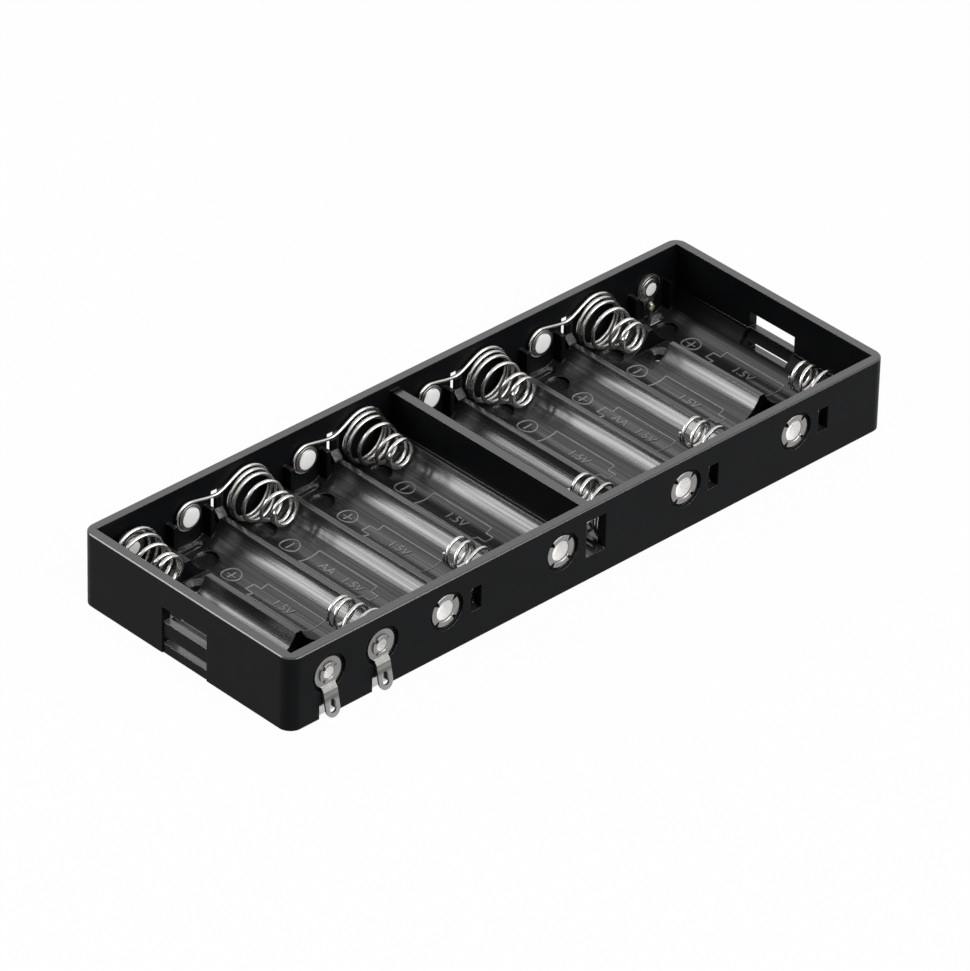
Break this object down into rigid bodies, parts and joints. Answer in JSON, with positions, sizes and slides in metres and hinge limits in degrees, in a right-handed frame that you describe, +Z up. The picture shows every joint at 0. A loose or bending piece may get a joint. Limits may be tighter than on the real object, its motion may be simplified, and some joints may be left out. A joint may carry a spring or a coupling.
{
  "type": "cylindrical cell holder",
  "caption": "Open moulded tray that holds round cells side by side in two bays, wired in series by riveted springs, with solder tags at one end.",
  "frame": {"origin": "centre of the mounting-hole pattern on the flat underside", "axes": "+X along the row of cells towards the end away from the output tags, +Y towards the back long wall, +Z up out of the open face"},
  "size_m": [0.157, 0.0603, 0.0164],
  "materials": {
    "housing_plastic": "satin black moulded plastic",
    "spring_wire": "bright nickel-plated spring wire",
    "contact_metal": "bright nickel plate",
    "tag_metal": "matte tin plate",
    "solder": "dull solder with flux",
    "wire_insulation": "black PVC insulation"
  },
  "bodies": {
    "root": {"housing": "housing_plastic", "spring_back_1": "spring_wire", "spring_back_3": "spring_wire", "spring_back_5": "spring_wire", "spring_back_7": "spring_wire", "spring_back_9": "spring_wire", "spring_front_2": "spring_wire", "spring_front_4": "spring_wire", "spring_front_6": "spring_wire", "spring_front_8": "spring_wire", "spring_front_10": "spring_wire", "rivet_front_1": "contact_metal", "rivet_front_2": "contact_metal", "rivet_front_3": "contact_metal", "rivet_front_5": "contact_metal", "rivet_front_7": "contact_metal", "rivet_front_9": "contact_metal", "rivet_back_1": "contact_metal", "rivet_back_2": "contact_metal", "rivet_back_4": "contact_metal", "rivet_back_6": "contact_metal", "rivet_back_8": "contact_metal", "rivet_back_10": "contact_metal", "tag_front_1": "tag_metal", "tag_front_2": "tag_metal", "tag_back_1": "tag_metal", "tag_back_10": "tag_metal", "solder_back_1": "solder", "solder_back_10": "solder", "jumper_wire": "wire_insulation"}
  },
  "joints": []
}
